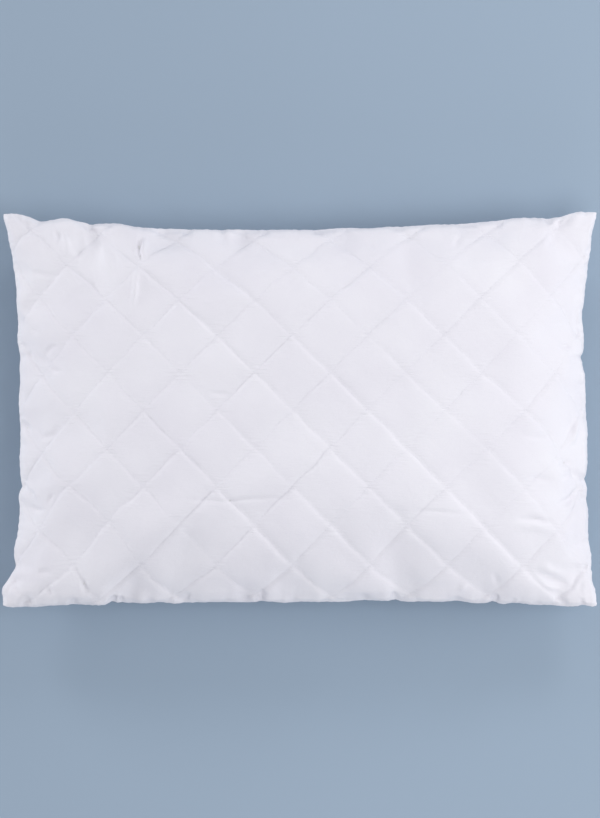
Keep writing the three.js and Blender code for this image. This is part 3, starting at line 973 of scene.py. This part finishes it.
def sunk(points, side, depth):
    """A face's points moved inwards by a depth, which shrinks by the edge where there is less room."""
    room = np.abs(points[..., 2] - SEAM_HEIGHT)
    share = np.clip(LAYER_SHARE * room / FIBRE_TOP, 0, 1)
    return points - side * normals(points) * (depth * share)[..., None]


def inner_grid(edge):
    """The grid of a layer that stops a little short of the seam."""
    return Grid(INNER_STEPS, close=(edge, edge + EDGE_CELL))


def make_cover(side, name):
    outer = faces[side]
    inner = sunk(outer, side, COVER_INSIDE)
    cover = shell(name + "_cover_cloth", outer, inner, fine, side, cover_cotton, inner_step=2)
    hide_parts(name + "_cover")


def make_layer(side, name, edge, top, bottom, material):
    grid = inner_grid(edge)
    face = face_shape(grid, side)
    return shell(name, sunk(face, side, top), sunk(face, side, bottom), grid, side, material)


def make_wadding(side, name):
    wadding = make_layer(side, name + "_wadding_sheet", WADDING_EDGE, WADDING_TOP, WADDING_BOTTOM,
                         wadding_fluff)
    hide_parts(name + "_wadding")


def make_lining(side, name):
    lining = make_layer(side, name + "_lining_cloth", LINING_EDGE, LINING_TOP, LINING_BOTTOM, lining_web)
    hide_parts(name + "_lining")


def make_filling():
    grid = inner_grid(FIBRE_EDGE)
    top, bottom = (sunk(face_shape(grid, side), side, FIBRE_TOP) for side in (1, -1))
    filling = shell("fibre_filling", top, bottom, grid, 1, fibre_fluff)
    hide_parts("fibre_fill")


# ---- threads

STITCH_SHARES = (0, 0.18, 0.82, 1)  # places along a stitch
STITCH_LIFTS = (-1.2, 0.5, 0.5, -1.2)  # their heights over the cloth, in thread radii
STITCH_GIRTHS = (0.7, 1, 1, 0.7)  # and the thread's radii there
STITCH_SIDES = 5
QUILTING_INSET = 0.003  # how far from a layer's edge its quilting starts
SEAM_PITCH = 0.0030  # the stitches between the covers
SEAM_STITCH = 0.0024
SEAM_INSET = 0.0003
OVERLOCK_PITCH = 0.0026  # the stitches across the raw edges
OVERLOCK_STITCH = 0.0018
OVERLOCK_START = 0.0060
OVERLOCK_END = 0.0085
CLOSING_RUN = 0.200  # the stretch in the middle of the near long side that is sewn shut last
CLOSING_INSET = 0.0026


def on_cloth(values, grid, u, v):
    """A grid's values at any cloth coordinates."""
    column = np.clip(np.searchsorted(grid.u_lines, u) - 1, 0, len(grid.u_lines) - 2)
    row = np.clip(np.searchsorted(grid.v_lines, v) - 1, 0, len(grid.v_lines) - 2)
    a = ((u - grid.u_lines[column]) / (grid.u_lines[column + 1] - grid.u_lines[column]))[..., None]
    b = ((v - grid.v_lines[row]) / (grid.v_lines[row + 1] - grid.v_lines[row]))[..., None]
    low = values[row, column] * (1 - a) + values[row, column + 1] * a
    high = values[row + 1, column] * (1 - a) + values[row + 1, column + 1] * a
    return low * (1 - b) + high * b


def quilting_stitches(inset):
    """Start and end of every stitch along the quilting, in cloth coordinates."""
    half = np.array([CUT_LENGTH / 2 - inset, CUT_WIDTH / 2 - inset])
    shift = np.array(PATTERN_SHIFT)
    reach = math.ceil((CUT_LENGTH + CUT_WIDTH) / 2 / DIAMOND)
    starts, ends = [], []
    for slope in (1, -1):
        heading = np.array([1, slope]) / math.sqrt(2)
        for number in range(-reach, reach + 1):
            through = shift + number * DIAMOND / 2 * np.array([1, -slope])
            bounds = np.sort([(-half - through) / heading, (half - through) / heading], axis=0)
            first, last = bounds[0].max(), bounds[1].min()
            if last - first < 2 * STITCH_LENGTH:
                continue
            places = np.arange(first, last - STITCH_LENGTH, STITCH_LENGTH)
            starts.append(through + places[:, None] * heading)
            ends.append(through + (places + STITCH_LENGTH - STITCH_GAP)[:, None] * heading)
    return np.concatenate(starts), np.concatenate(ends)


def stitch_mesh(name, points, up, material):
    """Short rounded lengths of thread. points holds four points along each, and up their heights' way."""
    heading = points[:, -1:] - points[:, :1]
    heading = heading / np.linalg.norm(heading, axis=-1, keepdims=True)
    beside = np.cross(heading, up)
    beside /= np.linalg.norm(beside, axis=-1, keepdims=True)
    turn = 2 * math.pi * np.arange(STITCH_SIDES) / STITCH_SIDES
    girth = THREAD_RADIUS * np.array(STITCH_GIRTHS)[None, :, None, None]
    centre = points + up * (THREAD_RADIUS * np.array(STITCH_LIFTS))[None, :, None]
    ring = beside[:, :, None] * np.cos(turn)[:, None] + up[:, :, None] * np.sin(turn)[:, None]
    vertices = (centre[:, :, None] + girth * ring).reshape(-1, 3)
    vertices[:, 2] = np.maximum(vertices[:, 2], 0)  # the floor presses the lowest stitches flat
    stitches, rings = points.shape[:2]
    number = np.arange(stitches * rings * STITCH_SIDES).reshape(stitches, rings, STITCH_SIDES)
    after = np.roll(number, -1, axis=2)
    sides = np.stack([number[:, :-1], after[:, :-1], after[:, 1:], number[:, 1:]], -1).reshape(-1, 4)
    caps = number[:, 0, ::-1].tolist() + number[:, -1].tolist()
    return new_piece(name, vertices, sides.tolist() + caps, material)


def stitches_on(name, surface, grid, side, starts, ends, material):
    """Stitches laid on a surface between cloth coordinates."""
    shares = np.array(STITCH_SHARES)[None, :, None]
    places = starts[:, None] * (1 - shares) + ends[:, None] * shares
    u, v = places[..., 0], places[..., 1]
    up = side * on_cloth(normals(surface), grid, u, v)
    return stitch_mesh(name, on_cloth(surface, grid, u, v), up, material)


def make_quilting(side, name):
    starts, ends = quilting_stitches(QUILTING_INSET)
    needle = stitches_on(name + "_needle_stitches", faces[side], fine, side, starts, ends, quilting_thread)
    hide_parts(name + "_needle_thread")
    grid = inner_grid(LINING_EDGE)
    inside = sunk(face_shape(grid, side), side, LINING_BOTTOM)
    starts, ends = quilting_stitches(LINING_EDGE + QUILTING_INSET)
    bobbin = stitches_on(name + "_bobbin_stitches", inside, grid, -side, starts, ends, quilting_thread)
    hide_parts(name + "_bobbin_thread")


def seam_loop():
    """The seam between the covers as a closed line: distances along it, its points, the ways inwards."""
    ring = border(*fine.u.shape)
    line = np.array([(faces[1][place] + faces[-1][place]) / 2 for place in ring])
    ahead = np.roll(line, -1, axis=0) - np.roll(line, 1, axis=0)
    inward = np.cross((0, 0, 1), ahead)
    inward /= np.linalg.norm(inward, axis=1, keepdims=True)
    line = np.concatenate([line, line[:1]])
    inward = np.concatenate([inward, inward[:1]])
    runs = np.concatenate([[0], np.cumsum(np.linalg.norm(np.diff(line, axis=0), axis=1))])
    return runs, line, inward


def seam_stitches(name, pitch, length, start_inset, end_inset):
    """Stitches all along the seam, which may lead inwards."""
    runs, line, inward = seam_loop()
    places = np.arange(0, runs[-1], pitch)
    shares = np.array(STITCH_SHARES)
    run = np.mod(places[:, None] + length * shares, runs[-1])
    on_line, inner = (
        np.stack([np.interp(run, runs, values[:, axis]) for axis in range(3)], -1)
        for values in (line, inward)
    )
    inset = start_inset * (1 - shares) + end_inset * shares
    return stitch_mesh(name, on_line + inner * inset[:, None], -inner, seam_thread)


def join_into(piece, extra):
    """Moves an extra piece's mesh into another piece."""
    with bpy.context.temp_override(active_object=piece, selected_editable_objects=[piece, extra]):
        bpy.ops.object.join()


def make_closing():
    places = np.arange(-CLOSING_RUN / 2, CLOSING_RUN / 2, STITCH_LENGTH)
    edge = -CUT_WIDTH / 2 + CLOSING_INSET
    starts = np.stack([places, np.full_like(places, edge)], -1)
    ends = starts + np.array([STITCH_LENGTH - STITCH_GAP, 0])
    closing = stitches_on("closing_seam_stitches", faces[1], fine, 1, starts, ends, seam_thread)
    under = stitches_on("closing_under", faces[-1], fine, -1, starts, ends, seam_thread)
    join_into(closing, under)
    return closing


def make_seams():
    perimeter = seam_stitches("perimeter_seam_stitches", SEAM_PITCH, SEAM_STITCH, SEAM_INSET, SEAM_INSET)
    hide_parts("perimeter_seam_thread")
    overlock = seam_stitches("overlock_stitches", OVERLOCK_PITCH, OVERLOCK_STITCH, OVERLOCK_START,
                             OVERLOCK_END)
    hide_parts("overlock_thread")
    closing = make_closing()
    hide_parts("closing_seam_thread")


for side, name in ((1, "front"), (-1, "back")):
    make_cover(side, name)
    make_wadding(side, name)
    make_lining(side, name)
    make_quilting(side, name)
make_filling()
make_seams()

# ---- the stage

FLOOR_COLOUR = srgb(0.62, 0.69, 0.758)
FLOOR_REACH = 30
FLOOR_GAP = 0.0002
LIGHT_AIM = Vector((0, 0, 0.05))
WARM_WHITE = (1, 0.985, 0.99)
SKY_COLOUR = srgb(0.90, 0.91, 0.94)
SKY_STRENGTH = 0.55
IMAGE_SIZE = (600, 818)
VIEW_WIDTH = 0.746  # what the camera frames at the height of the seam
VIEW_HEIGHT = VIEW_WIDTH * IMAGE_SIZE[1] / IMAGE_SIZE[0]
CAMERA_DISTANCE = 8.0
SENSOR = 36.0  # for the picture's longer side


def make_floor():
    reach = FLOOR_REACH
    corners = [(-reach, -reach, 0), (reach, -reach, 0), (reach, reach, 0), (-reach, reach, 0)]
    mesh = bpy.data.meshes.new("floor")
    mesh.from_pydata(corners, [], [(0, 1, 2, 3)])
    shader = Shader("floor_paint")
    place = shader.add("ShaderNodeTexCoord").outputs["Object"]
    tone = shader.noise(place, scale=1.5, detail=2)
    colour = shader.ramp(tone, shaded(FLOOR_COLOUR, 0.97), FLOOR_COLOUR)
    shader.join(colour, shader.surface.inputs["Base Color"])
    set_inputs(shader.surface, {"Roughness": 0.9})
    mesh.materials.append(shader.material)
    floor = new_object("floor", mesh)
    floor.location.z = -FLOOR_GAP


def make_light(name, place, size, power, colour=(1, 1, 1)):
    lamp = bpy.data.lights.new(name, "AREA")
    lamp.shape = "DISK"
    lamp.size = size
    lamp.energy = power
    lamp.color = colour
    light = new_object(name, lamp)
    light.location = place
    light.visible_camera = False
    light.rotation_euler = (LIGHT_AIM - Vector(place)).to_track_quat("-Z", "Y").to_euler()


def make_camera():
    lens = bpy.data.cameras.new("camera")
    lens.sensor_width = SENSOR
    lens.lens = SENSOR * CAMERA_DISTANCE / VIEW_HEIGHT
    camera = new_object("camera", lens)
    camera.location = (0, 0, SEAM_HEIGHT + CAMERA_DISTANCE)
    bpy.context.scene.camera = camera


def make_world():
    world = bpy.data.worlds.new("studio")
    world.use_nodes = True
    set_inputs(world.node_tree.nodes["Background"], {"Color": SKY_COLOUR, "Strength": SKY_STRENGTH})
    bpy.context.scene.world = world


make_floor()
make_light("key", (1.4, 2.2, 1.45), 0.9, 16, WARM_WHITE)
make_light("second_key", (-3.0, 4.0, 2.0), 1.6, 58, WARM_WHITE)
make_light("overhead", (1.0, -0.3, 2.2), 1.4, 14)
make_light("left_fill", (-5.0, 0.2, 0.45), 1.0, 84)
make_light("right_fill", (2.0, 0.1, 0.8), 1.0, 9.5)
make_light("near_fill", (0.4, -2.6, 0.9), 1.8, 14)
make_camera()
make_world()
bpy.context.scene.view_settings.view_transform = "Standard"
